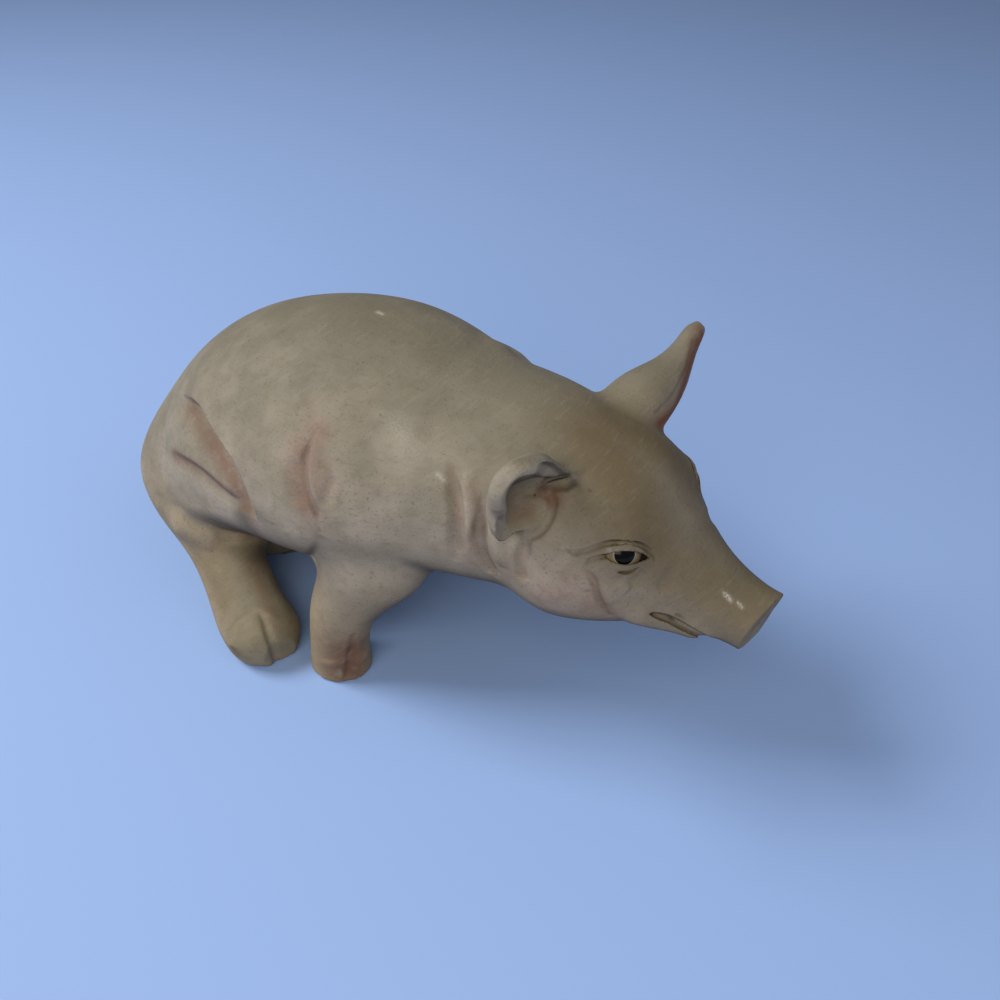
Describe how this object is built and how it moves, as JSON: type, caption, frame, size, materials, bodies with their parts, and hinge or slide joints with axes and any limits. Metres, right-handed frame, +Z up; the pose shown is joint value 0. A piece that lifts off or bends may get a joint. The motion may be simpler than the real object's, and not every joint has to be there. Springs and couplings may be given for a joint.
{
  "type": "pig figurine",
  "caption": "Realistic sitting pig ornament, cast in pinned and glued pieces and hand painted in a matte tan, that rests on its rump and feet.",
  "frame": {"origin": "middle of the figurine's length, on its plane of symmetry, on the ground under the felt pads", "axes": "+X towards the snout, +Y towards the pig's left, +Z up"},
  "size_m": [0.2394, 0.1168, 0.1167],
  "materials": {
    "painted_resin": "cast resin, hand painted matte tan with dark wash in the creases",
    "eye_gloss": "black gloss bead",
    "steel": "plain steel rod",
    "felt": "brown felt",
    "plug_rubber": "matte black rubber"
  },
  "bodies": {
    "root": {"torso_shell": "painted_resin", "head_casting": "painted_resin", "right_foreleg": "painted_resin", "left_foreleg": "painted_resin", "right_hind_leg": "painted_resin", "left_hind_leg": "painted_resin", "right_ear": "painted_resin", "left_ear": "painted_resin", "tail": "painted_resin", "right_eye": "eye_gloss", "left_eye": "eye_gloss", "neck_dowel": "steel", "right_foreleg_pin": "steel", "left_foreleg_pin": "steel", "right_hind_leg_pin": "steel", "left_hind_leg_pin": "steel", "right_ear_pin": "steel", "left_ear_pin": "steel", "tail_pin": "steel", "rump_pad": "felt", "right_foreleg_pad": "felt", "left_foreleg_pad": "felt", "right_hind_leg_pad": "felt", "left_hind_leg_pad": "felt", "belly_plug": "plug_rubber"}
  },
  "joints": []
}
